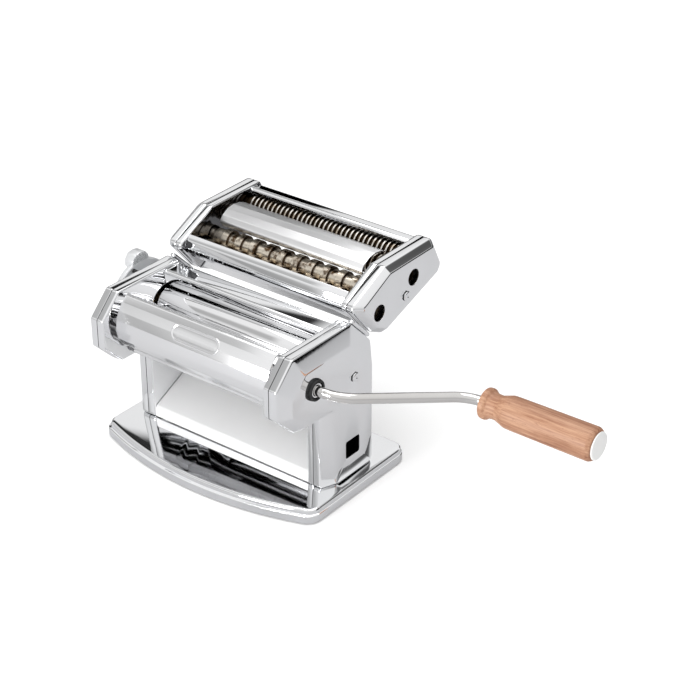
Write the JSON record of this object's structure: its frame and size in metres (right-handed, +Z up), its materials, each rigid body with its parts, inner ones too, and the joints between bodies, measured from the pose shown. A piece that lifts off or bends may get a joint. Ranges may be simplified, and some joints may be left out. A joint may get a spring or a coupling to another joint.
{
  "type": "pasta roller machine",
  "caption": "Hand-cranked pasta roller machine: chromed housing on a bowed base, gap dial, bent crank with a wooden grip, and a slide-on cutter head at the rear.",
  "frame": {"origin": "middle of the whole machine's footprint box, on the table", "axes": "+X along the rollers towards the crank, +Y to the rear where the cutter head sits, +Z up"},
  "size_m": [0.3942, 0.1972, 0.1697],
  "materials": {
    "chrome": "polished",
    "steel": "satin",
    "dark_steel": "satin",
    "bronze": "satin",
    "black_rubber": "matte",
    "black_plastic": "matte",
    "grey_metal": "satin",
    "beech": "satin",
    "white_plastic": "gloss"
  },
  "bodies": {
    "frame": {"base_pan": "chrome", "foot_front_left": "black_rubber", "foot_front_right": "black_rubber", "foot_rear_left": "black_rubber", "foot_rear_right": "black_rubber", "left_cheek": "chrome", "right_cheek": "chrome", "left_side_cover": "chrome", "right_side_cover": "chrome", "front_cover": "chrome", "rear_cover": "chrome", "chute": "chrome", "front_tie_rod": "steel", "rear_tie_rod": "steel", "lower_tie_rod": "steel", "front_scraper": "steel", "rear_scraper": "steel", "front_bush_left": "bronze", "front_bush_right": "bronze", "left_cover_rivet": "chrome", "right_cover_rivet": "chrome", "socket_ring": "black_plastic"},
    "carriage": {"rear_bearing_left": "bronze", "rear_bearing_right": "bronze"},
    "rear_roller": {"rear_roller": "steel", "rear_gear": "dark_steel"},
    "front_roller": {"front_roller": "steel", "front_gear": "dark_steel"},
    "crank": {"crank_rod": "chrome", "grip_clip": "steel"},
    "grip": {"crank_grip": "beech", "grip_end_cap": "white_plastic"},
    "adjuster": {"adjuster_shaft": "steel", "adjuster_washer": "steel", "adjuster_spring": "steel"},
    "dial": {"adjuster_dial": "grey_metal", "adjuster_pin": "black_plastic"},
    "cutter_head": {"cutter_left_cheek": "chrome", "cutter_right_cheek": "chrome", "cutter_left_cover": "chrome", "cutter_right_cover": "chrome", "cutter_front_plate": "chrome", "cutter_hood": "chrome", "cutter_rear_cover": "chrome", "wide_stripper": "steel", "fine_stripper": "steel", "cutter_left_rail": "chrome", "cutter_right_rail": "chrome", "cutter_left_rivet": "chrome", "cutter_right_rivet": "chrome"},
    "wide_front": {"wide_cutter_front": "dark_steel", "wide_gear_front": "dark_steel"},
    "wide_rear": {"wide_cutter_rear": "dark_steel", "wide_gear_rear": "dark_steel"},
    "fine_front": {"fine_cutter_front": "dark_steel", "fine_gear_front": "dark_steel"},
    "fine_rear": {"fine_cutter_rear": "dark_steel", "fine_gear_rear": "dark_steel"}
  },
  "joints": [
    {"name": "front_roller_turn", "type": "hinge", "parent": "frame", "child": "front_roller", "pos_m": [-0.0864, -0.06151, 0.1065], "axis": [1, 0, 0], "continuous": true},
    {"name": "crank_withdraw", "type": "slide", "parent": "front_roller", "child": "crank", "axis": [1, 0, 0], "range_m": [0, 0.06]},
    {"name": "grip_spin", "type": "hinge", "parent": "crank", "child": "grip", "pos_m": [0.1436, 0.02457, 0.0882], "axis": [1, 0, 0], "continuous": true},
    {"name": "gap_turn", "type": "hinge", "parent": "frame", "child": "adjuster", "pos_m": [-0.1864, -0.03301, 0.1065], "axis": [1, 0, 0], "range_deg": [0, 150]},
    {"name": "dial_pull", "type": "slide", "parent": "adjuster", "child": "dial", "axis": [-1, 0, 0], "range_m": [0, 0.003], "stiffness_N_per_m": 1500, "springref_m": -0.002},
    {"name": "gap_slide", "type": "slide", "parent": "frame", "child": "carriage", "axis": [0, -1, 0], "range_m": [0, 0.0018]},
    {"name": "rear_roller_turn", "type": "hinge", "parent": "carriage", "child": "rear_roller", "pos_m": [-0.0864, -0.02731, 0.1065], "axis": [1, 0, 0], "continuous": true},
    {"name": "cutter_slide", "type": "slide", "parent": "frame", "child": "cutter_head", "axis": [0, -0.7071, 0.7071], "range_m": [0, 0.05]},
    {"name": "wide_turn", "type": "hinge", "parent": "cutter_head", "child": "wide_front", "pos_m": [-0.0864, 0.01479, 0.1368], "axis": [1, 0, 0], "continuous": true},
    {"name": "wide_rear_turn", "type": "hinge", "parent": "cutter_head", "child": "wide_rear", "pos_m": [-0.0864, 0.031, 0.14157], "axis": [1, 0, 0], "continuous": true},
    {"name": "fine_turn", "type": "hinge", "parent": "cutter_head", "child": "fine_front", "pos_m": [-0.0864, 0.05748, 0.14936], "axis": [1, 0, 0], "continuous": true},
    {"name": "fine_rear_turn", "type": "hinge", "parent": "cutter_head", "child": "fine_rear", "pos_m": [-0.0864, 0.07369, 0.15414], "axis": [1, 0, 0], "continuous": true}
  ],
  "couplings": [
    {"joint": "rear_roller_turn", "follows": "front_roller_turn", "ratio": -1},
    {"joint": "gap_slide", "follows": "gap_turn", "m_per_rad": 0.000687},
    {"joint": "wide_rear_turn", "follows": "wide_turn", "ratio": -1},
    {"joint": "fine_rear_turn", "follows": "fine_turn", "ratio": -1}
  ]
}
